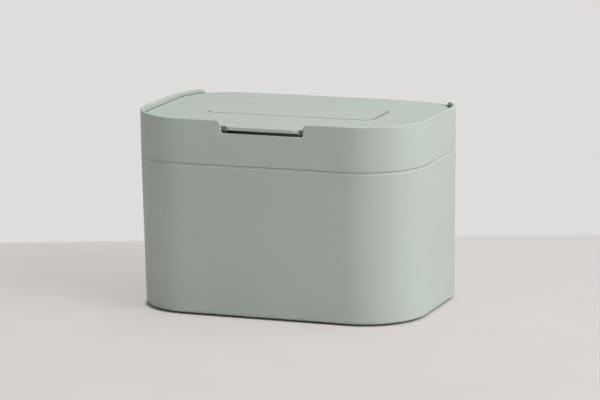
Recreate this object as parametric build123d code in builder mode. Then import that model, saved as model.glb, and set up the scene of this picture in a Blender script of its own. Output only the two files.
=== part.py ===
from build123d import *
from math import hypot, radians, tan
import os

os.makedirs("parts", exist_ok=True)

# Kitchen compost bin. The origin is on the floor under the middle of the bin,
# X runs along the width, the front faces -Y. All lengths in millimetres.

# Outer form
width = 302
depth = 198
front_corner = 64
rear_corner = 55
foot_height = 2
draft = 0.9

# Outer tub
tub_top = 153.4
tub_wall = 2.5
tub_floor = 2.5
tub_base_radius = 2.5
tub_lip_radius = 1.2
tub_inside_radius = 5

# Rubber feet, let into the tub's floor
foot_radius = 9
foot_edge = 0.8
foot_seat = 1
foot_inset = 42
foot_clearance = 0.1

# Inner bucket, hung in the tub by its flange
flange_thickness = 1.6
flange_inset = 0.5
bucket_clearance = 1.2
bucket_wall = 1.8
bucket_floor = 2
bucket_bottom = 8
bucket_base_radius = 9

# Bail handle of the bucket, folded down to the rear
bail_drop = 12.5
bail_wire = 2
bail_bend = 5
bail_corner = 42
bail_rear_inset = 17
ear_radius = 6.5
ear_length = 6
ear_bore_depth = 4.4
ear_gap = 0.5
bail_fit = 0.05
grip_radius = 4.8
grip_end_radius = 3.9
grip_length = 96

# Collar with the rim, the locating skirt and the seal shelf
collar_height = 45
collar_wall = 3
seat_thickness = 2.2
collar_edge = 0.5
skirt_clearance = 0.5
skirt_wall = 2
skirt_drop = 6
shelf_thickness = 2.2
shelf_reach = 12
shelf_lip = 4
shelf_lip_wall = 2
rim_edge = 0.8

# Rim line in side view, lengths from the rear and drops from the rim: it falls
# to the rear and ends behind the corners
rim_fall_length = 109
rim_fall_drop = 2
rim_rear_inset = 20
rim_end_inset = 15.7
rim_end_radius = 2.2
rear_wall_drop = 6.5

# Notch for the lift tab
notch_half = 43.5
notch_depth = 12.7
notch_corner = 4.7
notch_foot_corner = 2

# Lid
lid_gap = 1
lid_drop = 5.7
lid_plate = 2.4
lid_wall = 2.2
lid_skirt_height = 11.3
lid_rear_radius = 56
lid_edge = 1.2

# Lift tab, flush with the collar's front, and the finger pocket behind it
tab_half = 40
tab_corner = 7
tab_thickness = 3.8
tab_edge = 0.8
cheek_wall = 2.6
cheek_drop = 2
pocket_half = 44
pocket_depth = 16
pocket_wall = 2

# Hinge at the rear edge
barrel_radius = 4
barrel_inset = 73.4
knuckle_gap = 0.4
knuckle_length = 10
hinge_gap = 0.4
pin_radius = 1.5
pin_fit = 0.05
pin_reach = 14
pin_end_gap = 0.5
bracket_drop = 2.5

# The rear wall's low part, for the lid's swing
swing_drop = 1.3
swing_reach = 19
swing_depth = 12
wall_ramp = 9

# Filter cover and its recess
cover_length = 178
cover_width = 58
cover_centre = 3
cover_corner = 10.5
cover_gap = 0.6
cover_plate = 2
cover_rim_wall = 1.5
cover_edge = 0.8
recess_wall = 1.8
recess_edge = 0.6
ledge_depth = 4.9
ledge_thickness = 1.8
ledge_width = 4.6

# Filter basket and pad
basket_flange = 1.2
basket_gap = 0.4
basket_wall = 1.5
basket_floor = 1.5
basket_depth = 12.4
slot_count = 14
slot_length = 34
slot_width = 4
slot_pitch = 11
vent_count = 6
vent_pitch = 26
vent_width = 12
vent_height = 1.2
pad_gap = 1
pad_height = 10

# Liner under the lid, its seal and screws
liner_thickness = 2
liner_inset = 1.2
liner_rib_wall = 1.8
liner_rib_drop = 3
seal_inset = 4
seal_width = 5
seal_height = 4.7
seal_gap = 0.3
seal_draft = 12
screw_radius = 1.5
screw_head_radius = 3
screw_head_height = 1.8
screw_length = 9
screw_clearance = 0.3
boss_radius = 4
end_screw_inset = 29
row_screw_inset = 81
front_screw_inset = 37
rear_screw_inset = 33
end_screw_y = 6

# Heights and places that follow from the sizes above
flange_top = tub_top + flange_thickness
bail_height = flange_top - bail_drop
bail_rear = depth / 2 - bail_rear_inset
rim_height = flange_top + collar_height
rear_wall_top = rim_height - rear_wall_drop
notch_bottom = rim_height - notch_depth
lid_inset = collar_wall + lid_gap
lid_top = rim_height - lid_drop
plate_bottom = lid_top - lid_plate
lid_skirt_bottom = lid_top - lid_skirt_height
tab_bottom = lid_top - tab_thickness
ledge_top = lid_top - ledge_depth
hinge_height = lid_top - barrel_radius
hinge_axis_y = depth / 2 - lid_inset
barrel_half = width / 2 - barrel_inset
seal_top = lid_skirt_bottom - liner_thickness
shelf_top = seal_top - seal_height - seal_gap
lean = tan(radians(draft))

end_screw_x = width / 2 - end_screw_inset
row_screw_x = width / 2 - row_screw_inset
front_screw_y = front_screw_inset - depth / 2
rear_screw_y = depth / 2 - rear_screw_inset
screw_spots = [
    (-row_screw_x, front_screw_y),
    (row_screw_x, front_screw_y),
    (-end_screw_x, end_screw_y),
    (end_screw_x, end_screw_y),
    (-row_screw_x, rear_screw_y),
    (row_screw_x, rear_screw_y),
]


def outline(inset, height):
    with BuildSketch(Plane.XY.offset(height)) as shape:
        Rectangle(width - 2 * inset, depth - 2 * inset)
        fillet(shape.vertices().group_by(Axis.Y)[0], front_corner - inset)
        fillet(shape.vertices().group_by(Axis.Y)[-1], rear_corner - inset)
    return shape.sketch


def ring(outer, inner, height):
    with BuildSketch(Plane.XY.offset(height)) as shape:
        add(outline(outer, 0))
        add(outline(inner, 0), mode=Mode.SUBTRACT)
    return shape.sketch


def wall_inset(point):
    radius = rear_corner if point.Y > 0 else front_corner
    across = max(abs(point.X) - (width / 2 - radius), 0)
    along = max(abs(point.Y) - (depth / 2 - radius), 0)
    return radius - hypot(across, along)


def drafted_body(inset, top, bottom, base_radius):
    with BuildPart() as body:
        extrude(outline(inset, top), amount=bottom - top, taper=draft)
        fillet(body.faces().sort_by(Axis.Z)[0].edges(), base_radius)
    return body.part


def lid_outline(inset, height):
    with BuildSketch(Plane.XY.offset(height)) as shape:
        side = lid_inset + inset
        Rectangle(width - 2 * side, depth - 2 * side)
        fillet(shape.vertices().group_by(Axis.Y)[0], front_corner - side)
        fillet(shape.vertices().group_by(Axis.Y)[-1], lid_rear_radius - inset)
    return shape.sketch


def cover_outline(inset, height):
    with BuildSketch(Plane.XY.offset(height)) as shape:
        with Locations((0, cover_centre)):
            RectangleRounded(
                cover_length - 2 * inset, cover_width - 2 * inset, cover_corner - inset
            )
    return shape.sketch


# Outer tub: drafted walls, a flat floor with a seat for each foot
with BuildPart() as outer_tub:
    add(drafted_body(0, tub_top, foot_height, tub_base_radius))
    fillet(outer_tub.faces().sort_by(Axis.Z)[-1].edges(), tub_lip_radius)
    add(
        drafted_body(tub_wall, tub_top, foot_height + tub_floor, tub_inside_radius),
        mode=Mode.SUBTRACT,
    )
    with BuildSketch(Plane.XY.offset(foot_height)):
        with GridLocations(width - 2 * foot_inset, depth - 2 * foot_inset, 2, 2):
            Circle(foot_radius + foot_clearance)
    extrude(amount=foot_seat, mode=Mode.SUBTRACT)

outer_tub.part.label = "outer_tub"
export_step(outer_tub.part, "parts/outer_tub.step")

for name, side_x, side_y in (
    ("foot_front_left", -1, -1),
    ("foot_front_right", 1, -1),
    ("foot_rear_left", -1, 1),
    ("foot_rear_right", 1, 1),
):
    with BuildPart() as foot:
        with BuildSketch():
            with Locations((side_x * (width / 2 - foot_inset), side_y * (depth / 2 - foot_inset))):
                Circle(foot_radius)
        extrude(amount=foot_height + foot_seat)
        fillet(foot.faces().sort_by(Axis.Z)[0].edges(), foot_edge)
    foot.part.label = name
    export_step(foot.part, "parts/" + name + ".step")


# Inner bucket: drafted like the tub, with a flange that shows in the seam and
# two ears on the inside of its end walls for the bail
bucket_inset = tub_wall + bucket_clearance
bail_pivot_drop = (flange_top - bail_height) * lean
ear_root = width / 2 - bucket_inset - bucket_wall / 2 - bail_pivot_drop
ear_face = width / 2 - bucket_inset - bucket_wall - bail_pivot_drop - ear_length

with BuildPart() as inner_bucket:
    add(drafted_body(bucket_inset, flange_top, bucket_bottom, bucket_base_radius))
    extrude(outline(flange_inset, tub_top), amount=flange_thickness)
    add(
        drafted_body(
            bucket_inset + bucket_wall,
            flange_top,
            bucket_bottom + bucket_floor,
            bucket_base_radius - bucket_wall,
        ),
        mode=Mode.SUBTRACT,
    )
    for side in (-1, 1):
        with BuildSketch(Plane.YZ.offset(side * ear_face)):
            with Locations((0, bail_height)):
                Circle(ear_radius)
        extrude(amount=side * (ear_root - ear_face))
        with BuildSketch(Plane.YZ.offset(side * ear_face)):
            with Locations((0, bail_height)):
                Circle(bail_wire + bail_fit)
        extrude(amount=side * ear_bore_depth, mode=Mode.SUBTRACT)

inner_bucket.part.label = "inner_bucket"
export_step(inner_bucket.part, "parts/inner_bucket.step")


# Bail: one bent wire whose ends turn out into the ears
bail_end = ear_face + ear_bore_depth - ear_gap
bail_arm = ear_face - ear_gap - bail_bend

with BuildPart() as bucket_bail:
    with BuildLine(Plane.XY.offset(bail_height)) as bail_line:
        FilletPolyline(
            (-bail_end, 0),
            (-bail_arm, 0),
            (-bail_arm, bail_rear),
            (bail_arm, bail_rear),
            (bail_arm, 0),
            (bail_end, 0),
            radius=[bail_bend, bail_corner, bail_corner, bail_bend],
        )
    with BuildSketch(Plane(origin=bail_line.line @ 0, z_dir=bail_line.line % 0)):
        Circle(bail_wire)
    sweep(path=bail_line.line)

bucket_bail.part.label = "bucket_bail"
export_step(bucket_bail.part, "parts/bucket_bail.step")

with BuildPart() as bail_grip:
    with BuildSketch(Plane.XY.offset(bail_height)) as grip_profile:
        with BuildLine():
            Line((-grip_length / 2, bail_rear), (-grip_length / 2, bail_rear + grip_end_radius))
            ThreePointArc(
                (-grip_length / 2, bail_rear + grip_end_radius),
                (0, bail_rear + grip_radius),
                (grip_length / 2, bail_rear + grip_end_radius),
            )
            Line((grip_length / 2, bail_rear + grip_end_radius), (grip_length / 2, bail_rear))
            Line((grip_length / 2, bail_rear), (-grip_length / 2, bail_rear))
        make_face()
    revolve(axis=Axis((0, bail_rear, bail_height), (1, 0, 0)))
    with BuildSketch(Plane.YZ.offset(-grip_length / 2)):
        with Locations((bail_rear, bail_height)):
            Circle(bail_wire + bail_fit)
    extrude(amount=grip_length, mode=Mode.SUBTRACT)

bail_grip.part.label = "bail_grip"
export_step(bail_grip.part, "parts/bail_grip.step")


# Collar: sits on the bucket's flange and drops a skirt into the bucket's mouth
skirt_inset = bucket_inset + bucket_wall + skirt_clearance
rim_fall_start = depth / 2 - rim_fall_length
rim_rear = depth / 2 - rim_rear_inset
rim_end = depth / 2 - rim_end_inset
swing_floor = hinge_height - swing_drop
swing_half = width / 2 - lid_inset - lid_rear_radius + swing_reach
knuckle_start = barrel_half + knuckle_gap

with BuildPart() as collar:
    extrude(ring(0, collar_wall, flange_top), amount=rim_height - flange_top)
    fillet(collar.faces().sort_by(Axis.Z)[0].outer_wire().edges(), collar_edge)
    extrude(ring(collar_wall / 2, skirt_inset + skirt_wall, flange_top), amount=seat_thickness)
    extrude(
        ring(skirt_inset, skirt_inset + skirt_wall, flange_top - skirt_drop),
        amount=skirt_drop + seat_thickness,
    )
    extrude(
        ring(collar_wall / 2, collar_wall + shelf_reach, shelf_top), amount=-shelf_thickness
    )
    extrude(
        ring(
            collar_wall + shelf_reach - shelf_lip_wall,
            collar_wall + shelf_reach,
            shelf_top - shelf_thickness,
        ),
        amount=-shelf_lip,
    )

    # The rim's fall to the rear
    with BuildSketch(Plane.YZ) as rim_line:
        with BuildLine():
            Polyline(
                (rim_fall_start, rim_height),
                (rim_rear, rim_height - rim_fall_drop),
                (rim_end, rear_wall_top),
                (depth, rear_wall_top),
                (depth, rim_height + 1),
                (rim_fall_start, rim_height + 1),
                close=True,
            )
        make_face()
        fillet(
            rim_line.vertices().filter_by_position(Axis.X, rim_rear - 1, rim_end + 1),
            rim_end_radius,
        )
    extrude(amount=width, both=True, mode=Mode.SUBTRACT)

    # The rear wall is cut down for the lid's barrel and for the swing of its corners
    with BuildSketch(Plane.XZ.offset(-depth / 2)):
        with BuildLine():
            Polyline(
                (-swing_half - wall_ramp, rear_wall_top),
                (-swing_half, swing_floor),
                (-knuckle_start, swing_floor),
                (-knuckle_start, hinge_height - barrel_radius - hinge_gap),
                (knuckle_start, hinge_height - barrel_radius - hinge_gap),
                (knuckle_start, swing_floor),
                (swing_half, swing_floor),
                (swing_half + wall_ramp, rear_wall_top),
                (swing_half + wall_ramp, rim_height),
                (-swing_half - wall_ramp, rim_height),
                close=True,
            )
        make_face()
    extrude(amount=swing_depth, mode=Mode.SUBTRACT)

    # Knuckles, each on a bracket that grows from the rear wall
    for side in (-1, 1):
        with BuildSketch(Plane.YZ.offset(side * knuckle_start)):
            with Locations((hinge_axis_y, hinge_height)):
                Circle(barrel_radius)
                Rectangle(
                    2 * barrel_radius,
                    barrel_radius + bracket_drop,
                    align=(Align.CENTER, Align.MAX),
                )
        extrude(amount=side * knuckle_length)
        with BuildSketch(Plane.YZ.offset(side * knuckle_start)):
            with Locations((hinge_axis_y, hinge_height)):
                Circle(pin_radius)
        extrude(amount=side * knuckle_length, mode=Mode.SUBTRACT)

    # Notch for the lift tab
    with BuildSketch(Plane.XZ.offset(depth / 2)) as notch:
        with Locations((0, notch_bottom)):
            Rectangle(2 * notch_half, 2 * notch_depth, align=(Align.CENTER, Align.MIN))
        fillet(notch.vertices().group_by(Axis.Y)[0], notch_foot_corner)
    extrude(amount=-lid_inset, mode=Mode.SUBTRACT)
    notch_tops = (
        collar.edges()
        .filter_by(Axis.Y)
        .filter_by_position(Axis.Z, rim_height - 0.1, rim_height + 0.1)
        .filter_by_position(Axis.X, -notch_half - 0.1, notch_half + 0.1)
    )
    fillet(notch_tops, notch_corner)

    # Rounded rim: the edges that run along the wall, from the rim's end round the front
    rim_edges = [
        edge
        for edge in collar.edges()
        if edge.bounding_box().min.Z > rear_wall_top - 0.01
        and edge.length > 0.2
        and abs(wall_inset(edge @ 0) - wall_inset(edge @ 1)) < collar_wall / 2
    ]
    fillet(rim_edges, rim_edge)

collar.part.label = "collar"
export_step(collar.part, "parts/collar.step")

for name, side in (("hinge_pin_left", -1), ("hinge_pin_right", 1)):
    with BuildPart() as pin:
        with BuildSketch(Plane.YZ.offset(side * (knuckle_start + knuckle_length))):
            with Locations((hinge_axis_y, hinge_height)):
                Circle(pin_radius)
        extrude(amount=-side * (knuckle_length + knuckle_gap + pin_reach - pin_end_gap))
    pin.part.label = name
    export_step(pin.part, "parts/" + name + ".step")


# Lid: a plate with a skirt, a recess for the filter cover, the lift tab in
# front and the hinge barrel behind
recess_half_x = cover_length / 2 + cover_gap
recess_half_y = cover_width / 2 + cover_gap

with BuildPart() as lid_shell:
    extrude(lid_outline(0, lid_skirt_bottom), amount=lid_skirt_height)
    with BuildSketch(Plane.XY.offset(tab_bottom - cheek_drop)) as tab:
        with Locations((0, -depth / 2)):
            Rectangle(2 * tab_half, 2 * tab_corner, align=(Align.CENTER, Align.MIN))
        fillet(tab.vertices().group_by(Axis.Y)[0], tab_corner)
    extrude(amount=tab_thickness + cheek_drop)
    fillet(lid_shell.faces().sort_by(Axis.Z)[-1].edges(), lid_edge)
    extrude(
        lid_outline(lid_wall, lid_skirt_bottom),
        amount=plate_bottom - lid_skirt_bottom,
        mode=Mode.SUBTRACT,
    )

    # Recess with a ledge round the opening for the basket
    extrude(
        cover_outline(-cover_gap - recess_wall, ledge_top - ledge_thickness),
        amount=lid_top - ledge_top,
    )
    extrude(cover_outline(-cover_gap, ledge_top), amount=ledge_depth, mode=Mode.SUBTRACT)
    extrude(
        cover_outline(ledge_width - cover_gap, ledge_top - ledge_thickness),
        amount=ledge_thickness,
        mode=Mode.SUBTRACT,
    )

    # Finger pocket: its walls stand behind the tab, its mouth is a slot in the skirt
    lid_front = lid_inset - depth / 2
    with BuildSketch(Plane.XY.offset(lid_skirt_bottom)):
        with Locations((0, lid_front)):
            Rectangle(
                2 * (pocket_half + pocket_wall),
                pocket_depth + pocket_wall,
                align=(Align.CENTER, Align.MIN),
            )
    extrude(amount=tab_bottom - lid_skirt_bottom + pocket_wall)
    with BuildSketch(Plane.XY.offset(lid_skirt_bottom)):
        with Locations((0, lid_front)):
            Rectangle(2 * pocket_half, 2 * lid_wall)
    extrude(amount=tab_bottom - cheek_drop - lid_skirt_bottom, mode=Mode.SUBTRACT)
    with BuildSketch(Plane.XY.offset(lid_skirt_bottom)):
        with Locations((0, lid_front + pocket_depth)):
            Rectangle(2 * pocket_half, pocket_depth - lid_wall, align=(Align.CENTER, Align.MAX))
            Rectangle(
                2 * (tab_half - cheek_wall),
                pocket_depth + 2 * lid_inset,
                align=(Align.CENTER, Align.MAX),
            )
    extrude(amount=tab_bottom - lid_skirt_bottom, mode=Mode.SUBTRACT)

    # The tab's cheeks slope from its front edge down to the skirt
    with BuildSketch(Plane.YZ):
        with BuildLine():
            Polyline(
                (lid_front, tab_bottom - cheek_drop),
                (lid_front - lid_inset, tab_bottom),
                (lid_front - lid_inset, tab_bottom - cheek_drop),
                close=True,
            )
        make_face()
    extrude(amount=tab_half, both=True, mode=Mode.SUBTRACT)
    tab_front_edge = (
        lid_shell.edges()
        .filter_by(Axis.X)
        .filter_by_position(Axis.Y, -depth / 2 - 0.01, -depth / 2 + 0.01)
        .filter_by_position(Axis.Z, tab_bottom - 0.01, tab_bottom + 0.01)
    )
    fillet(tab_front_edge, tab_edge)

    # Rear barrel, blended into the plate
    with BuildSketch(Plane.YZ.offset(-barrel_half)):
        with Locations((hinge_axis_y, hinge_height)):
            Circle(barrel_radius)
            Rectangle(2 * barrel_radius, barrel_radius, align=(Align.MAX, Align.MIN))
    extrude(amount=2 * barrel_half)

    # Bays in the rear edge that clear the collar's knuckles
    for side in (-1, 1):
        with BuildSketch(Plane.XY.offset(lid_skirt_bottom)):
            with Locations((side * (knuckle_start + knuckle_length / 2), hinge_axis_y)):
                Rectangle(
                    knuckle_length + 2 * knuckle_gap + 2 * lid_wall,
                    barrel_radius + hinge_gap + lid_wall,
                    align=(Align.CENTER, Align.MAX),
                )
        extrude(amount=plate_bottom - lid_skirt_bottom)
        with BuildSketch(Plane.XY.offset(lid_skirt_bottom)):
            with Locations((side * (knuckle_start + knuckle_length / 2), hinge_axis_y)):
                Rectangle(knuckle_length + 2 * knuckle_gap, 2 * (barrel_radius + hinge_gap))
        extrude(amount=lid_skirt_height, mode=Mode.SUBTRACT)

    # Bores for the hinge pins
    for side in (-1, 1):
        with BuildSketch(Plane.YZ.offset(side * barrel_half)):
            with Locations((hinge_axis_y, hinge_height)):
                Circle(pin_radius + pin_fit)
        extrude(amount=-side * pin_reach, mode=Mode.SUBTRACT)

    # Screw bosses
    with BuildSketch(Plane.XY.offset(lid_skirt_bottom)):
        with Locations(*screw_spots):
            Circle(boss_radius)
    extrude(amount=plate_bottom - lid_skirt_bottom)
    with BuildSketch(Plane.XY.offset(lid_skirt_bottom)):
        with Locations(*screw_spots):
            Circle(screw_radius)
    extrude(amount=screw_length - liner_thickness, mode=Mode.SUBTRACT)

    # Softened edge round the recess
    recess_rim = (
        lid_shell.edges()
        .group_by(Axis.Z)[-1]
        .filter_by_position(Axis.X, -recess_half_x - 0.1, recess_half_x + 0.1)
        .filter_by_position(
            Axis.Y, cover_centre - recess_half_y - 0.1, cover_centre + recess_half_y + 0.1
        )
    )
    fillet(recess_rim, recess_edge)

lid_shell.part.label = "lid_shell"
export_step(lid_shell.part, "parts/lid_shell.step")


# Liner: closes the lid from below, with a rib that carries the seal
with BuildPart() as lid_liner:
    extrude(lid_outline(liner_inset, seal_top), amount=liner_thickness)
    extrude(lid_outline(seal_inset + seal_width, seal_top), amount=-liner_rib_drop)
    extrude(
        lid_outline(seal_inset + seal_width + liner_rib_wall, seal_top),
        amount=-liner_rib_drop,
        mode=Mode.SUBTRACT,
    )
    extrude(
        cover_outline(ledge_width - cover_gap, seal_top),
        amount=liner_thickness,
        mode=Mode.SUBTRACT,
    )
    with BuildSketch(Plane.XY.offset(seal_top)):
        with Locations(*screw_spots):
            Circle(screw_radius + screw_clearance)
    extrude(amount=liner_thickness, mode=Mode.SUBTRACT)
    for side in (-1, 1):
        with BuildSketch(Plane.XY.offset(seal_top)):
            with Locations((side * (knuckle_start + knuckle_length / 2), hinge_axis_y)):
                Rectangle(knuckle_length + 2 * knuckle_gap, 2 * (barrel_radius + hinge_gap))
        extrude(amount=liner_thickness, mode=Mode.SUBTRACT)

lid_liner.part.label = "lid_liner"
export_step(lid_liner.part, "parts/lid_liner.step")

# Silicone seal: a ring round the rib whose lip narrows towards the shelf
with BuildPart() as lid_seal:
    extrude(
        lid_outline(seal_inset, seal_top),
        amount=-seal_height,
        taper=seal_draft,
    )
    extrude(
        lid_outline(seal_inset + seal_width, seal_top),
        amount=-seal_height,
        mode=Mode.SUBTRACT,
    )

lid_seal.part.label = "lid_seal"
export_step(lid_seal.part, "parts/lid_seal.step")

# Six pan-head screws
with BuildPart() as liner_screws:
    with BuildSketch(Plane.XY.offset(seal_top)):
        with Locations(*screw_spots):
            Circle(screw_head_radius)
    extrude(amount=-screw_head_height)
    fillet(liner_screws.faces().group_by(Axis.Z)[0].edges(), screw_head_height / 2)
    with BuildSketch(Plane.XY.offset(seal_top)):
        with Locations(*screw_spots):
            Circle(screw_radius)
    extrude(amount=screw_length)

liner_screws.part.label = "liner_screws"
export_step(liner_screws.part, "parts/liner_screws.step")


# Filter basket: hangs in the recess by its flange, slotted floor
basket_inset = ledge_width - cover_gap + basket_gap
flange_z = ledge_top + basket_flange
basket_bottom = ledge_top - basket_depth

with BuildPart() as filter_basket:
    extrude(cover_outline(basket_inset, basket_bottom), amount=flange_z - basket_bottom)
    extrude(cover_outline(basket_gap - cover_gap, ledge_top), amount=basket_flange)
    extrude(
        cover_outline(basket_inset + basket_wall, basket_bottom + basket_floor),
        amount=flange_z - basket_bottom,
        mode=Mode.SUBTRACT,
    )
    with BuildSketch(Plane.XY.offset(basket_bottom)):
        with Locations((0, cover_centre)):
            with GridLocations(slot_pitch, 0, slot_count, 1):
                SlotOverall(slot_length, slot_width, rotation=90)
    extrude(amount=basket_floor, mode=Mode.SUBTRACT)

filter_basket.part.label = "filter_basket"
export_step(filter_basket.part, "parts/filter_basket.step")

with BuildPart() as filter_pad:
    extrude(
        cover_outline(basket_inset + basket_wall + pad_gap, basket_bottom + basket_floor),
        amount=pad_height,
    )

filter_pad.part.label = "filter_pad"
export_step(filter_pad.part, "parts/filter_pad.step")

# Filter cover: flush with the lid, with vents in its rim
with BuildPart() as filter_cover:
    extrude(cover_outline(0, flange_z), amount=lid_top - flange_z)
    fillet(filter_cover.faces().sort_by(Axis.Z)[-1].edges(), cover_edge)
    extrude(
        cover_outline(cover_rim_wall, flange_z),
        amount=lid_top - cover_plate - flange_z,
        mode=Mode.SUBTRACT,
    )
    with BuildSketch(Plane.XY.offset(flange_z)):
        with Locations((0, cover_centre)):
            with GridLocations(vent_pitch, 0, vent_count, 1):
                Rectangle(vent_width, cover_width + 1)
    extrude(amount=vent_height, mode=Mode.SUBTRACT)

filter_cover.part.label = "filter_cover"
export_step(filter_cover.part, "parts/filter_cover.step")
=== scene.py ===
import math

import bmesh
import bpy
from mathutils import Matrix, Vector, noise


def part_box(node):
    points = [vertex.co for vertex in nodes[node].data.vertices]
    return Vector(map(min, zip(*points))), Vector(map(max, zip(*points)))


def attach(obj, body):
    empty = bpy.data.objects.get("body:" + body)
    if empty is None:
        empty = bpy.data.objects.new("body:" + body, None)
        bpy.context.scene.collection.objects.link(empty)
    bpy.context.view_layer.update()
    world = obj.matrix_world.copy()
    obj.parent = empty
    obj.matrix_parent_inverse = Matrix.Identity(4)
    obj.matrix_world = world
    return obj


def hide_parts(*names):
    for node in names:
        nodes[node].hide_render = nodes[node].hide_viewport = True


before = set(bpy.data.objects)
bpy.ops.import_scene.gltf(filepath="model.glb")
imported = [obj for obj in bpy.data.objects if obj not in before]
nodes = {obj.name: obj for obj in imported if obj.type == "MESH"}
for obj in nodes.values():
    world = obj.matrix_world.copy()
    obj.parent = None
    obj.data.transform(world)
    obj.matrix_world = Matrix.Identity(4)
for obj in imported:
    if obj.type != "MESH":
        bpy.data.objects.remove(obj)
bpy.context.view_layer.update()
print("compost bin: CAD frame loaded,", len(nodes), "nodes")


def addObject(name, data):
    made = bpy.data.objects.new(name, data)
    bpy.context.scene.collection.objects.link(made)
    return made


# Camera at the photograph's angle

cameraLook = {
    "place": (1.25878, -3.29360, 0.81220),
    "yaw": 20.885,
    "pitch": 11.366,
    "roll": -0.769,
    "lens": 212.85,
    "sensor": 36.0,
    "clip": (0.1, 50),
}


def addCamera(look):
    yaw, pitch, roll = (math.radians(look[key]) for key in ("yaw", "pitch", "roll"))
    level = math.cos(pitch)
    back = Vector((math.sin(yaw) * level, -math.cos(yaw) * level, math.sin(pitch)))
    right = Vector((math.cos(yaw), math.sin(yaw), 0))
    up = back.cross(right)
    tiltRight = right * math.cos(roll) + up * math.sin(roll)
    tiltUp = up * math.cos(roll) - right * math.sin(roll)
    data = bpy.data.cameras.new("photoCamera")
    data.lens = look["lens"]
    data.sensor_width = look["sensor"]
    data.clip_start, data.clip_end = look["clip"]
    camera = addObject("photoCamera", data)
    turn = Matrix((tiltRight, tiltUp, back)).transposed().to_4x4()
    camera.matrix_world = Matrix.Translation(look["place"]) @ turn
    bpy.context.scene.camera = camera


addCamera(cameraLook)
print("camera set")


# Shader maths as Python expressions

class Wire:
    # one output socket of a node tree

    def __init__(self, tree, socket):
        self.tree = tree
        self.socket = socket

    def maths(self, operation, other, swapped=False):
        node = self.tree.nodes.new("ShaderNodeMath")
        node.operation = operation
        pair = (other, self) if swapped else (self, other)
        for place, item in enumerate(pair):
            if isinstance(item, Wire):
                self.tree.links.new(item.socket, node.inputs[place])
            else:
                node.inputs[place].default_value = item
        return Wire(self.tree, node.outputs[0])

    def __add__(self, other):
        return self.maths("ADD", other)

    def __sub__(self, other):
        return self.maths("SUBTRACT", other)

    def __mul__(self, other):
        return self.maths("MULTIPLY", other)

    def __rsub__(self, other):
        return self.maths("SUBTRACT", other, swapped=True)

    __radd__ = __add__
    __rmul__ = __mul__


class Board:
    # a node tree and the one way its nodes are added

    def __init__(self, tree):
        self.tree = tree

    def node(self, kind, settings=None, values=None, result=0):
        made = self.tree.nodes.new(kind)
        for key, value in (settings or {}).items():
            setattr(made, key, value)
        for key, value in (values or {}).items():
            if isinstance(value, Wire):
                self.tree.links.new(value.socket, made.inputs[key])
            else:
                made.inputs[key].default_value = value
        return Wire(self.tree, made.outputs[result])


class Recipe(Board):
    # one material

    edgeSamples = 4
    roundSamples = 6
    # how far the rounded normal has turned on a full crest, as a cosine
    crest = 0.75

    def __init__(self, name):
        self.material = bpy.data.materials.new(name)
        self.material.use_nodes = True
        super().__init__(self.material.node_tree)
        self.tree.nodes.clear()
        self.shader = self.tree.nodes.new("ShaderNodeBsdfPrincipled")
        self.output = self.tree.nodes.new("ShaderNodeOutputMaterial")
        self.tree.links.new(self.shader.outputs[0], self.output.inputs[0])

    def place(self, scale=(1, 1, 1)):
        spot = self.node("ShaderNodeTexCoord", result="Object")
        return self.node("ShaderNodeMapping", values={"Vector": spot, "Scale": scale})

    def noise(self, scale, detail, roughness, stretch=(1, 1, 1)):
        values = {"Vector": self.place(stretch), "Scale": scale, "Detail": detail, "Roughness": roughness}
        return self.node("ShaderNodeTexNoise", values=values)

    def span(self, wire, low, high, toLow=0.0, toHigh=1.0):
        values = {"Value": wire, "From Min": low, "From Max": high, "To Min": toLow, "To Max": toHigh}
        return self.node("ShaderNodeMapRange", values=values)

    def vector(self, operation, first, second=(0, 0, 0), result=0):
        return self.node("ShaderNodeVectorMath", {"operation": operation}, {0: first, 1: second}, result)

    def blend(self, factor, first, second):
        # inputs 6 and 7 are the colour pair of a Mix node, output 2 its colour
        pair = {0: factor, 6: first, 7: second}
        return self.node("ShaderNodeMix", {"data_type": "RGBA"}, pair, result=2)

    def bump(self, height, strength, distance, under=None):
        values = {"Height": height, "Strength": strength, "Distance": distance}
        if under is not None:
            values["Normal"] = under
        return self.node("ShaderNodeBump", values=values)

    def rounded(self, radius, samples=roundSamples):
        return self.node("ShaderNodeBevel", {"samples": samples}, {"Radius": radius})

    def edges(self, radius):
        # 0 on flat ground, rising to 1 on a crest or in a crease
        straight = self.node("ShaderNodeNewGeometry", result="Normal")
        along = self.vector("DOT_PRODUCT", self.rounded(radius, self.edgeSamples), straight, "Value")
        return self.span(along, 1.0, self.crest)

    def finish(self, **sockets):
        for key, value in sockets.items():
            name = key.replace("_", " ")
            if isinstance(value, Wire):
                self.tree.links.new(value.socket, self.shader.inputs[name])
            else:
                self.shader.inputs[name].default_value = value
        return self.material


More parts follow.
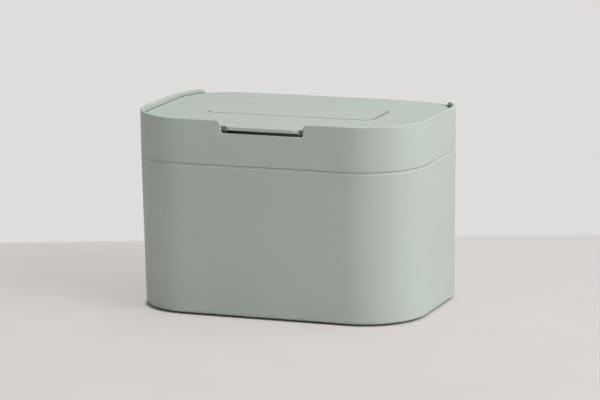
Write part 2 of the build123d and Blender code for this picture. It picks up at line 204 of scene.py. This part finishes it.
class Growth(Board):
    # one Geometry Nodes tree: its first input is the mesh that it grows from, the others are its sizes

    def __init__(self, name, sizes):
        super().__init__(bpy.data.node_groups.new(name, "GeometryNodeTree"))
        sockets = self.tree.interface
        sockets.new_socket("Base", in_out="INPUT", socket_type="NodeSocketGeometry")
        for label, kind in sizes.items():
            sockets.new_socket(label, in_out="INPUT", socket_type=kind)
        sockets.new_socket("Grown", in_out="OUTPUT", socket_type="NodeSocketGeometry")
        self.start = self.tree.nodes.new("NodeGroupInput")
        self.end = self.tree.nodes.new("NodeGroupOutput")

    def size(self, label):
        return Wire(self.tree, self.start.outputs[label])

    def random(self, kind, low, high, result):
        values = {"Min": low, "Max": high, "Seed": self.size("Seed")}
        return self.node("FunctionNodeRandomValue", {"data_type": kind}, values, result)

    def close(self, shape, material):
        real = self.node("GeometryNodeRealizeInstances", values={"Geometry": shape})
        dressed = self.node("GeometryNodeSetMaterial", values={"Geometry": real, "Material": material})
        self.tree.links.new(dressed.socket, self.end.inputs["Grown"])

    def grow(self, base, sizes):
        # sets the sizes, then leaves the result on the base as a plain mesh
        step = base.modifiers.new(self.tree.name, "NODES")
        step.node_group = self.tree
        for socket in self.tree.interface.items_tree:
            if socket.name in sizes:
                step[socket.identifier] = sizes[socket.name]
        grown = evaluatedMesh(base)
        base.modifiers.remove(step)
        base.data = grown


def evaluatedMesh(piece):
    return bpy.data.meshes.new_from_object(piece.evaluated_get(bpy.context.evaluated_depsgraph_get()))


def asMesh(name, shape):
    bmesh.ops.recalc_face_normals(shape, faces=shape.faces)
    mesh = bpy.data.meshes.new(name)
    shape.to_mesh(mesh)
    shape.free()
    return mesh


def shaded(rgb, factor):
    return tuple(min(1.0, part * factor) for part in rgb) + (1.0,)


def dress(names, material):
    for name in names:
        slots = nodes[name].data.materials
        slots.clear()
        slots.append(material)


# Moulded sage plastic: fine spark-eroded grain, faint flow clouds, paler rubbed edges

sageLook = {
    "colour": (0.500, 0.566, 0.511),
    "clouds": {"scale": 9.0, "detail": 4.0, "roughness": 0.55},
    "cloudSpan": (0.3, 0.7),
    "cloudShades": (0.975, 1.025),
    "specks": {"scale": 260.0, "detail": 2.0, "roughness": 0.6},
    "speckSpan": (0.42, 0.75, 0.0, 0.35),
    "speckShade": 0.94,
    "wear": {"scale": 60.0, "detail": 3.0, "roughness": 0.6},
    "wearSpan": (0.4, 0.7, 0.25, 0.8),
    "wearShade": 1.18,
    "wearAmount": 0.5,
    "wearPolish": 0.08,
    "grain": {"scale": 1500.0, "detail": 2.0, "roughness": 0.65},
    "grainShare": 0.4,
    "grainBump": {"strength": 0.35, "distance": 0.00003},
    "roughSpan": (0.35, 0.65),
    "roughness": (0.5, 0.6),
    "edge": 0.0007,
    "shader": {"IOR": 1.46, "Specular_IOR_Level": 0.42},
}
bucketLook = {
    **sageLook, "roughness": (0.38, 0.5), "grain": {**sageLook["grain"], "scale": 2200.0}, "edge": 0.0004,
}

# lines round a piece, as heights under its top: painted shade darkens a narrow gap, a painted highlight
# makes an edge paler
# facing says how squarely a wall has to look outwards, fade is the length over which a line ends
lineLook = {"facing": (0.004, 0.012), "fade": 0.008}
# painted shade: a dark line along the cover's top edge, for the shadow in the gap round it
coverShadeLines = [{"from": 0.0, "to": 0.004, "soft": 0.00004, "shade": 0.12, "strength": 0.95}]
# painted shade as two dark lines at the top and bottom of the flange's outer edge, with a painted highlight
# as a paler band between them
bucketShadeAndHighlightLines = [
    {"from": 0.00004, "to": 0.0006, "soft": 0.00004, "shade": 0.2, "strength": 0.85},
    {"from": 0.0006, "to": 0.0013, "soft": 0.00005, "shade": 1.45, "strength": 0.8},
    {"from": 0.0013, "to": 0.0017, "soft": 0.00004, "shade": 0.3, "strength": 0.6},
]
# painted highlight: a paler line along the tub's top outer edge
tubHighlightLines = [{"from": 0.0, "to": 0.0005, "soft": 0.0001, "shade": 1.4, "strength": 0.9}]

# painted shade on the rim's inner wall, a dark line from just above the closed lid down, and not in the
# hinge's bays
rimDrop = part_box("collar")[1].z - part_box("filter_cover")[1].z
rimShadeLines = [{
    "from": rimDrop - 0.0004, "to": rimDrop + 0.0015, "soft": 0.0003, "shade": 0.4, "strength": 0.75,
    "side": -1, "until": 0.076,
}]

# boxes on a piece: painted shade in the corner behind the lift tab, and a painted highlight on the tab's
# edges and on the rim's top edge
lidPlaces = {
    "dustAndShade": {
        "low": (-0.0465, -0.0965, 0.18), "high": (0.0465, -0.0905, 0.1934),
        "soft": 0.0009, "shade": 0.22, "strength": 0.68,
    },
    "paintedHighlight": {
        "low": (-0.042, -0.1, 0.185), "high": (0.042, -0.0968, 0.2),
        "soft": 0.0006, "shade": 1.32, "strength": 0.75, "edge": 0.0012,
    },
}
rimPlaces = {
    "paintedHighlight": {
        "low": (-0.16, -0.11, 0.1972), "high": (0.16, 0.11, 0.21),
        "soft": 0.001, "shade": 1.26, "strength": 0.8, "edge": 0.0014,
    },
}


def addLines(mat, base, colour, top, lines):
    # a line lies on walls that look outwards, or inwards where its side is -1,
    # and ends at its until towards the back
    spot = mat.place()
    level = mat.vector("MULTIPLY", spot, (1, 1, 0))
    out = mat.vector("DOT_PRODUCT", level, mat.node("ShaderNodeTexCoord", result="Normal"), "Value")
    back, height = (mat.node("ShaderNodeSeparateXYZ", values={0: spot}, result=axis) for axis in "YZ")
    for line in lines:
        soft, upper, lower = line["soft"], top - line["from"], top - line["to"]
        within = mat.span(height, upper - soft, upper, 1.0, 0.0) * mat.span(height, lower, lower + soft)
        facing = mat.span(out, *(limit * line.get("side", 1) for limit in lineLook["facing"]))
        if "until" in line:
            facing = facing * mat.span(back, line["until"], line["until"] + lineLook["fade"], 1.0, 0.0)
        # a line is painted shade where its shade is below 1 and a painted highlight where it is above 1
        base = mat.blend(within * facing * line["strength"], base, shaded(colour, line["shade"]))
    return base


def insideBox(mat, box):
    # 1 inside the box, fading over its soft border
    spot, soft, inside = mat.place(), box["soft"], 1.0
    for axis, low, high in zip("XYZ", box["low"], box["high"]):
        at = mat.node("ShaderNodeSeparateXYZ", values={0: spot}, result=axis)
        inside = mat.span(at, low - soft, low) * mat.span(at, high, high + soft, 1.0, 0.0) * inside
    return inside


def addPlaces(mat, base, colour, places):
    # the first box darkens the colour: painted shade
    if "dustAndShade" in places:
        dustAndShade = places["dustAndShade"]
        base = mat.blend(insideBox(mat, dustAndShade) * dustAndShade["strength"], base, shaded(colour, dustAndShade["shade"]))
    # the second box pales the colour on edges: a painted highlight
    paintedHighlight = places["paintedHighlight"]
    highlightAmount = insideBox(mat, paintedHighlight) * mat.edges(paintedHighlight["edge"]) * paintedHighlight["strength"]
    return mat.blend(highlightAmount, base, shaded(colour, paintedHighlight["shade"]))


def makeSagePlastic(name, top, look=sageLook, tint=1.0, lines=(), places=None):
    mat = Recipe(name)
    colour = look["colour"]
    clouds = mat.noise(**look["clouds"])
    grain = mat.noise(**look["grain"])
    darker, paler = (shaded(colour, shade * tint) for shade in look["cloudShades"])
    base = mat.blend(mat.span(clouds, *look["cloudSpan"]), darker, paler)
    specks = mat.span(mat.noise(**look["specks"]), *look["speckSpan"])
    base = mat.blend(specks, base, shaded(colour, look["speckShade"] * tint))
    rubbed = mat.edges(look["edge"]) * mat.span(mat.noise(**look["wear"]), *look["wearSpan"])
    base = mat.blend(rubbed * look["wearAmount"], base, shaded(colour, look["wearShade"] * tint))
    if lines:
        base = addLines(mat, base, colour, top, lines)
    if places:
        base = addPlaces(mat, base, colour, places)
    texture = clouds * (1 - look["grainShare"]) + grain * look["grainShare"]
    rough = mat.span(texture, *look["roughSpan"], *look["roughness"]) - rubbed * look["wearPolish"]
    bumped = mat.bump(grain, **look["grainBump"], under=mat.rounded(look["edge"]))
    return mat.finish(Base_Color=base, Roughness=rough, Normal=bumped, **look["shader"])


sageSkins = {
    "collar": {"name": "sagePlastic", "lines": rimShadeLines, "places": rimPlaces},
    "lid_shell": {"name": "lidPlastic", "look": {**sageLook, "edge": 0.0009}, "places": lidPlaces},
    "outer_tub": {"name": "tubPlastic", "lines": tubHighlightLines},
    "filter_cover": {"name": "coverPlastic", "look": {**sageLook, "edge": 0.0003}, "lines": coverShadeLines},
    "inner_bucket": {"name": "bucketPlastic", "look": bucketLook, "tint": 0.98, "lines": bucketShadeAndHighlightLines},
    "bail_grip": {"name": "gripPlastic", "look": bucketLook, "tint": 0.92},
}
for skinned, skin in sageSkins.items():
    dress((skinned,), makeSagePlastic(top=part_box(skinned)[1].z, **skin))
print("sage plastic done")


# Liner and basket: paler satin plastic with long scuffs

linerLook = {
    "colour": (0.66, 0.69, 0.65),
    "clouds": {"scale": 12.0, "detail": 4.0, "roughness": 0.5},
    "cloudSpan": (0.3, 0.7),
    "cloudShades": (0.96, 1.02),
    "scuffs": {"scale": 55.0, "detail": 5.0, "roughness": 0.7, "stretch": (1.0, 0.12, 1.0)},
    "scuffSpan": (0.55, 0.8, 0.0, 0.4),
    "scuffShade": 0.88,
    "grain": {"scale": 1800.0, "detail": 2.0, "roughness": 0.6},
    "grainBump": {"strength": 0.25, "distance": 0.00002},
    "roughSpan": (0.35, 0.7, 0.34, 0.46),
    "edge": 0.0004,
    "shader": {"IOR": 1.46},
}


def makeLinerPlastic(look):
    mat = Recipe("linerPlastic")
    scuffs = mat.noise(**look["scuffs"])
    darker, paler = (shaded(look["colour"], shade) for shade in look["cloudShades"])
    base = mat.blend(mat.span(mat.noise(**look["clouds"]), *look["cloudSpan"]), darker, paler)
    base = mat.blend(mat.span(scuffs, *look["scuffSpan"]), base, shaded(look["colour"], look["scuffShade"]))
    rough = mat.span(scuffs, *look["roughSpan"])
    bumped = mat.bump(mat.noise(**look["grain"]), **look["grainBump"], under=mat.rounded(look["edge"]))
    return mat.finish(Base_Color=base, Roughness=rough, Normal=bumped, **look["shader"])


dress(("lid_liner", "filter_basket"), makeLinerPlastic(linerLook))
print("liner plastic done")


# Silicone seal, soft and a little translucent, and rubber feet: both under a film of dust

sealLook = {
    "colour": (0.70, 0.73, 0.69),
    "dustAndShade": {"scale": 140.0, "detail": 4.0, "roughness": 0.6},
    "dustSpan": (0.4, 0.75),
    "dustShade": 0.9,
    "grain": {"scale": 900.0, "detail": 2.0, "roughness": 0.5},
    "grainBump": {"strength": 0.2, "distance": 0.00002},
    "roughSpan": (0.3, 0.7, 0.42, 0.55),
    "shader": {"IOR": 1.41, "Subsurface_Weight": 0.15, "Subsurface_Scale": 0.002},
}
footLook = {
    "colour": (0.045, 0.045, 0.043),
    "dustAndShade": {"scale": 220.0, "detail": 5.0, "roughness": 0.65},
    "dustSpan": (0.45, 0.8),
    "dustShade": 2.2,
    "grain": {"scale": 1600.0, "detail": 3.0, "roughness": 0.6},
    "grainBump": {"strength": 0.5, "distance": 0.00004},
    "roughSpan": (0.3, 0.7, 0.72, 0.88),
    "shader": {"IOR": 1.5},
}


def makeRubber(name, look):
    mat = Recipe(name)
    dustAndShade = mat.noise(**look["dustAndShade"])
    plain, dusty = shaded(look["colour"], 1.0), shaded(look["colour"], look["dustShade"])
    base = mat.blend(mat.span(dustAndShade, *look["dustSpan"]), plain, dusty)
    rough = mat.span(dustAndShade, *look["roughSpan"])
    bumped = mat.bump(mat.noise(**look["grain"]), **look["grainBump"])
    return mat.finish(Base_Color=base, Roughness=rough, Normal=bumped, **look["shader"])


dress(("lid_seal",), makeRubber("sealSilicone", sealLook))
feet = ("foot_front_left", "foot_front_right", "foot_rear_left", "foot_rear_right")
dress(feet, makeRubber("footRubber", footLook))
print("seal and feet done")


# Stainless wire, pins and screws

steelLook = {
    "colour": (0.62, 0.61, 0.60),
    "drawn": {"scale": 1.0, "detail": 3.0, "roughness": 0.6, "stretch": (60.0, 2400.0, 2400.0)},
    "drawnBump": {"strength": 0.25, "distance": 0.00002},
    "haze": {"scale": 45.0, "detail": 3.0, "roughness": 0.5},
    "hazeSpan": (0.35, 0.7),
    "hazeShades": (0.94, 1.05),
    "hazeShare": 0.5,
    "roughSpan": (0.35, 0.65, 0.22, 0.36),
    "shader": {"Metallic": 1.0},
}


def makeSteel(look):
    mat = Recipe("drawnSteel")
    drawn = mat.noise(**look["drawn"])
    haze = mat.noise(**look["haze"])
    darker, paler = (shaded(look["colour"], shade) for shade in look["hazeShades"])
    base = mat.blend(mat.span(haze, *look["hazeSpan"]), darker, paler)
    texture = drawn * (1 - look["hazeShare"]) + haze * look["hazeShare"]
    rough = mat.span(texture, *look["roughSpan"])
    bumped = mat.bump(drawn, **look["drawnBump"])
    return mat.finish(Base_Color=base, Roughness=rough, Normal=bumped, **look["shader"])


steel = makeSteel(steelLook)
dress(("bucket_bail", "hinge_pin_left", "hinge_pin_right"), steel)
print("steel done")


# Screws of the liner: pan heads with a cross recess, in place of the frame's six plain ones

screwLook = {
    "head": 0.003,
    "height": 0.0018,
    "round": 0.0009,
    "shank": 0.0015,
    "length": 0.009,
    "armWidth": 0.00045,
    "armLength": 0.00175,
    "recess": 0.0011,
    "taper": 0.45,
    "slope": 0.00014,
    "rings": 22,
    "sides": 48,
    "apart": 0.012,
    "spin": 1.57,
    "seed": 7,
}


def screwMesh(look):
    # the head points down, its flat side at z 0; the recess is pressed into the dome
    shape = bmesh.new()
    turns = [2 * math.pi * side / look["sides"] for side in range(look["sides"])]
    rows = []
    for ring in range(1, look["rings"] + 1):
        out = look["head"] * ring / look["rings"]
        past = max(0.0, out - (look["head"] - look["round"])) / look["round"]
        low = -look["height"] + look["round"] * (1 - math.sqrt(max(0.0, 1 - past * past)))
        depth = look["recess"] * (1 - look["taper"] * min(1.0, out / look["armLength"]))
        row = []
        for turn in turns:
            x, y = out * math.cos(turn), out * math.sin(turn)
            arm = min(abs(x), abs(y)) - look["armWidth"]
            tip = max(abs(x), abs(y)) - look["armLength"]
            inside = min(1.0, max(0.0, -max(arm, tip) / look["slope"]))
            row.append(shape.verts.new((x, y, low + inside * depth)))
        rows.append(row)
    for z, out in ((0, look["head"]), (0, look["shank"]), (look["length"], look["shank"])):
        rows.append([shape.verts.new((out * math.cos(turn), out * math.sin(turn), z)) for turn in turns])
    middle = shape.verts.new((0, 0, -look["height"] + look["recess"]))
    top = shape.verts.new((0, 0, look["length"]))
    for side in range(look["sides"]):
        after = (side + 1) % look["sides"]
        shape.faces.new((middle, rows[0][after], rows[0][side]))
        shape.faces.new((top, rows[-1][side], rows[-1][after]))
        for near, far in zip(rows, rows[1:]):
            shape.faces.new((near[side], near[after], far[after], far[side]))
    return asMesh("crossScrew", shape)


def screwSpots(name, apart):
    # centres of the frame's screws, one for each group of points that lies apart
    groups = []
    for corner in nodes[name].data.vertices:
        for group in groups:
            if math.hypot(group[0].x - corner.co.x, group[0].y - corner.co.y) < apart:
                group.append(corner.co)
                break
        else:
            groups.append([corner.co])
    spots = []
    for group in groups:
        across, along = [point.x for point in group], [point.y for point in group]
        spots.append(((min(across) + max(across)) / 2, (min(along) + max(along)) / 2))
    return spots


def addScrews(look, material):
    inputs = {"Screw": "NodeSocketObject", "Scale": "NodeSocketFloat", "Seed": "NodeSocketInt"}
    tree = Growth("screwTree", inputs)
    one = tree.node("GeometryNodeObjectInfo", values={"Object": tree.size("Screw")}, result="Geometry")
    spin = tree.node("ShaderNodeCombineXYZ", values={"Z": tree.random("FLOAT", 0.0, look["spin"], 1)})
    values = {"Points": tree.size("Base"), "Instance": one, "Rotation": spin, "Scale": tree.size("Scale")}
    tree.close(tree.node("GeometryNodeInstanceOnPoints", values=values), material)
    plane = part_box("liner_screws")[0].z + look["height"]
    points = bpy.data.meshes.new("linerScrews")
    points.from_pydata([(x, y, plane) for x, y in screwSpots("liner_screws", look["apart"])], [], [])
    screws = addObject("linerScrews", points)
    pattern = addObject("screwPattern", screwMesh(look))
    tree.grow(screws, {"Screw": pattern, "Scale": 1.0, "Seed": look["seed"]})
    bpy.data.objects.remove(pattern)
    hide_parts("liner_screws")
    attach(screws, "lid")


addScrews(screwLook, steel)
print("screws done")


# Charcoal felt

feltLook = {
    "colour": (0.022, 0.022, 0.024),
    "fleck": (0.07, 0.07, 0.075),
    "flecks": 900.0,
    "fleckSpan": (0.0, 0.25, 1.0, 0.0),
    "strands": {"scale": 420.0, "detail": 6.0, "roughness": 0.75},
    "strandSpan": (0.5, 0.75),
    "strandShade": 0.7,
    "strandBump": {"strength": 0.8, "distance": 0.0004},
    "roughSpan": (0.3, 0.7, 0.86, 0.98),
    "shader": {"IOR": 1.4},
}


def makeFelt(look):
    mat = Recipe("charcoalFelt")
    strands = mat.noise(**look["strands"])
    spread = {"Vector": mat.place(), "Scale": look["flecks"]}
    flecks = mat.node("ShaderNodeTexVoronoi", values=spread, result="Distance")
    plain, fleck = shaded(look["colour"], 1.0), shaded(look["fleck"], 1.0)
    base = mat.blend(mat.span(flecks, *look["fleckSpan"]), plain, fleck)
    strand = shaded(look["fleck"], look["strandShade"])
    base = mat.blend(mat.span(strands, *look["strandSpan"]), base, strand)
    rough = mat.span(strands, *look["roughSpan"])
    bumped = mat.bump(strands, **look["strandBump"])
    return mat.finish(Base_Color=base, Roughness=rough, Normal=bumped, **look["shader"])


padLook = {
    "weld": 0.00001,
    "voxel": 0.0012,
    "smooth": 0.5,
    "rounds": 4,
    "inset": 0.0006,
    "wave": 0.0003,
    "ripple": 60,
    "pinch": 0.16,
    "pinchPower": 6,
    "density": 260000.0,
    "fibre": 0.0016,
    "thick": 0.00006,
    "tip": 0.00002,
    "sides": 3,
    "lean": ((1.15, -0.2, -3.14), (1.5, 0.2, 3.14)),
    "stretch": (0.4, 1.0),
    "seed": 11,
    "fill": 0.9,
}


def padMesh(look):
    # the frame's flat pad made soft: the remesh rounds it, its faces are waved a little and pressed
    # thinner at the rim
    low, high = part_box("filter_pad")
    middle = (low + high) / 2
    half = (high - low) / 2
    keep = [1 - look["inset"] / size for size in half]
    body = bmesh.new()
    body.from_mesh(nodes["filter_pad"].data)
    bmesh.ops.remove_doubles(body, verts=body.verts, dist=look["weld"])
    start = addObject("padStart", asMesh("padStart", body))
    fine = start.modifiers.new("fine", "REMESH")
    fine.mode, fine.voxel_size = "VOXEL", look["voxel"]
    soft = start.modifiers.new("soft", "SMOOTH")
    soft.factor, soft.iterations = look["smooth"], look["rounds"]
    made = evaluatedMesh(start)
    bpy.data.objects.remove(start)
    for corner in made.vertices:
        out = corner.co - middle
        near = max(abs(out.x) / half.x, abs(out.y) / half.y)
        squeeze = 1 - look["pinch"] * near ** look["pinchPower"]
        wave = look["wave"] * noise.noise(corner.co * look["ripple"])
        sink = math.copysign(abs(out.z / half.z * wave), out.z)
        corner.co = middle + Vector((out.x * keep[0], out.y * keep[1], out.z * keep[2] * squeeze - sink))
    for face in made.polygons:
        face.use_smooth = True
    return made


def addPad(look, material):
    decimal = "NodeSocketFloat"
    inputs = {"Density": decimal, "Length": decimal, "Thickness": decimal, "Seed": "NodeSocketInt"}
    tree = Growth("feltTree", inputs)
    base = tree.size("Base")
    scatter = {"Mesh": base, "Density": tree.size("Density"), "Seed": tree.size("Seed")}
    points = tree.node("GeometryNodeDistributePointsOnFaces", values=scatter)
    upright = Wire(tree.tree, points.socket.node.outputs["Rotation"])
    turn = {"Rotation": upright, "Rotate By": tree.random("FLOAT_VECTOR", *look["lean"], 0)}
    turned = tree.node("FunctionNodeRotateRotation", {"rotation_space": "LOCAL"}, turn)
    cone = {
        "Vertices": look["sides"], "Radius Top": look["tip"],
        "Radius Bottom": tree.size("Thickness"), "Depth": tree.size("Length"),
    }
    fibre = tree.node("GeometryNodeMeshCone", {"fill_type": "NGON"}, cone)
    stretch = tree.random("FLOAT", *look["stretch"], 1)
    values = {"Points": points, "Instance": fibre, "Rotation": turned, "Scale": stretch}
    coat = tree.node("GeometryNodeInstanceOnPoints", values=values)
    joined = tree.tree.nodes.new("GeometryNodeJoinGeometry")
    for part in (base, coat):
        tree.tree.links.new(part.socket, joined.inputs[0])
    tree.close(Wire(tree.tree, joined.outputs[0]), material)
    pad = addObject("charcoalPad", padMesh(look))
    tree.grow(pad, {
        "Density": look["density"], "Length": look["fibre"],
        "Thickness": look["thick"], "Seed": look["seed"],
    })
    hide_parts("filter_pad")
    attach(pad, "filter_pad")
    print("pad has", len(pad.data.polygons), "faces")


addPad(padLook, makeFelt(feltLook))
print("felt done")


# Pale worktop that turns into the colour of a pale wall behind the bin

stageLook = {
    "size": 9.0,
    "top": (0.690, 0.660, 0.640),
    "wall": (0.730, 0.724, 0.708),
    "wallSpan": (0.292, 0.304),
    "grain": {"scale": 14.0, "detail": 4.0, "roughness": 0.5},
    "grainSpan": (0.3, 0.7),
    "grainShades": (0.985, 1.015),
    "evened": 0.6,
    "footHalf": (0.1510, 0.0990),
    "footCorner": 0.060,
    "footSoft": 0.004,
    "shader": {"Roughness": 0.75, "IOR": 1.4},
}


def awayFromFoot(mat, spot, look):
    # 0 under the bin, 1 outside its rounded footprint
    corner = look["footCorner"]
    inner = [half - corner for half in look["footHalf"]]
    past = mat.vector("SUBTRACT", mat.vector("ABSOLUTE", spot), (*inner, 0))
    away = mat.vector("LENGTH", mat.vector("MAXIMUM", past), result="Value")
    return mat.span(away, corner - look["footSoft"], corner)


def addFloor(look):
    half = look["size"] / 2
    mesh = bpy.data.meshes.new("worktop")
    corners = [(-half, -half, 0), (half, -half, 0), (half, half, 0), (-half, half, 0)]
    mesh.from_pydata(corners, [], [(0, 1, 2, 3)])
    floor = addObject("worktop", mesh)
    mat = Recipe("worktopPaint")
    yaw = math.radians(cameraLook["yaw"])
    spot = mat.node("ShaderNodeTexCoord", result="Object")
    behind = mat.vector("DOT_PRODUCT", spot, (-math.sin(yaw), math.cos(yaw), 0), "Value")
    wall = mat.span(behind, *look["wallSpan"])
    darker, paler = (shaded(look["top"], shade) for shade in look["grainShades"])
    top = mat.blend(mat.span(mat.noise(**look["grain"]), *look["grainSpan"]), darker, paler)
    base = mat.blend(wall, top, shaded(look["wall"], 1.0))
    mat.finish(Base_Color=base, **look["shader"])
    # to the camera and in reflections part of it is its plain colour, so a shadow stays but is as pale
    # as in a bright room; nothing is evened out under the bin, so the gap at its foot stays dark
    kinds = ("Is Camera Ray", "Is Glossy Ray", "Is Transmission Ray")
    camera, glossy, clear = (mat.node("ShaderNodeLightPath", result=kind) for kind in kinds)
    clamped = {"use_clamp": True, "operation": "ADD"}
    seen = mat.node("ShaderNodeMath", clamped, {0: camera + glossy, 1: clear})
    evened = seen * mat.span(wall, 0.0, 1.0, look["evened"], 1.0) * awayFromFoot(mat, spot, look)
    plain = mat.node("ShaderNodeEmission", values={"Color": base, "Strength": 1.0})
    lit = Wire(mat.tree, mat.shader.outputs[0])
    mixed = mat.node("ShaderNodeMixShader", values={0: evened, 1: lit, 2: plain})
    mat.tree.links.new(mixed.socket, mat.output.inputs[0])
    mesh.materials.append(mat.material)


lampAim = (0, 0, 0.1)
lampLooks = {
    "windowLamp": {
        "place": (2.0, -0.62, 1.75), "size": (1.5, 1.3), "power": 44.4, "colour": (1.0, 0.995, 1.0),
    },
    "ceilingLamp": {
        "place": (0.1, 0.2, 2.4), "size": (2.4, 2.4), "power": 24.0, "colour": (1.0, 0.975, 1.0),
    },
    "sideLamp": {
        "place": (2.4, 0.7, 0.9), "size": (1.2, 1.2), "power": 10.3, "colour": (1.0, 1.0, 1.0),
    },
    "roomLamp": {
        "place": (-1.6, -2.2, 1.0), "size": (1.6, 1.4), "power": 7.1, "colour": (1.0, 1.0, 0.92),
    },
    "rearLamp": {
        "place": (-0.3, 2.4, 1.8), "size": (2.0, 1.2), "power": 8.7, "colour": (1.0, 1.0, 1.0),
    },
}
worldLook = {"colour": (0.98, 1.0, 0.93), "strength": 0.17}


def addLamp(name, look):
    data = bpy.data.lights.new(name, "AREA")
    data.shape = "RECTANGLE"
    data.size, data.size_y = look["size"]
    data.energy = look["power"]
    data.color = look["colour"]
    lamp = addObject(name, data)
    place = Vector(look["place"])
    lamp.location = place
    lamp.rotation_euler = (place - Vector(lampAim)).to_track_quat("Z", "Y").to_euler()


def addWorld(look):
    world = bpy.data.worlds.new("studioAir")
    bpy.context.scene.world = world
    world.use_nodes = True
    air = world.node_tree.nodes["Background"]
    air.inputs["Color"].default_value = (*look["colour"], 1)
    air.inputs["Strength"].default_value = look["strength"]


addFloor(stageLook)
for lampName, lampLook in lampLooks.items():
    addLamp(lampName, lampLook)
addWorld(worldLook)
bpy.context.scene.view_settings.view_transform = "Standard"
print("worktop and lamps done")
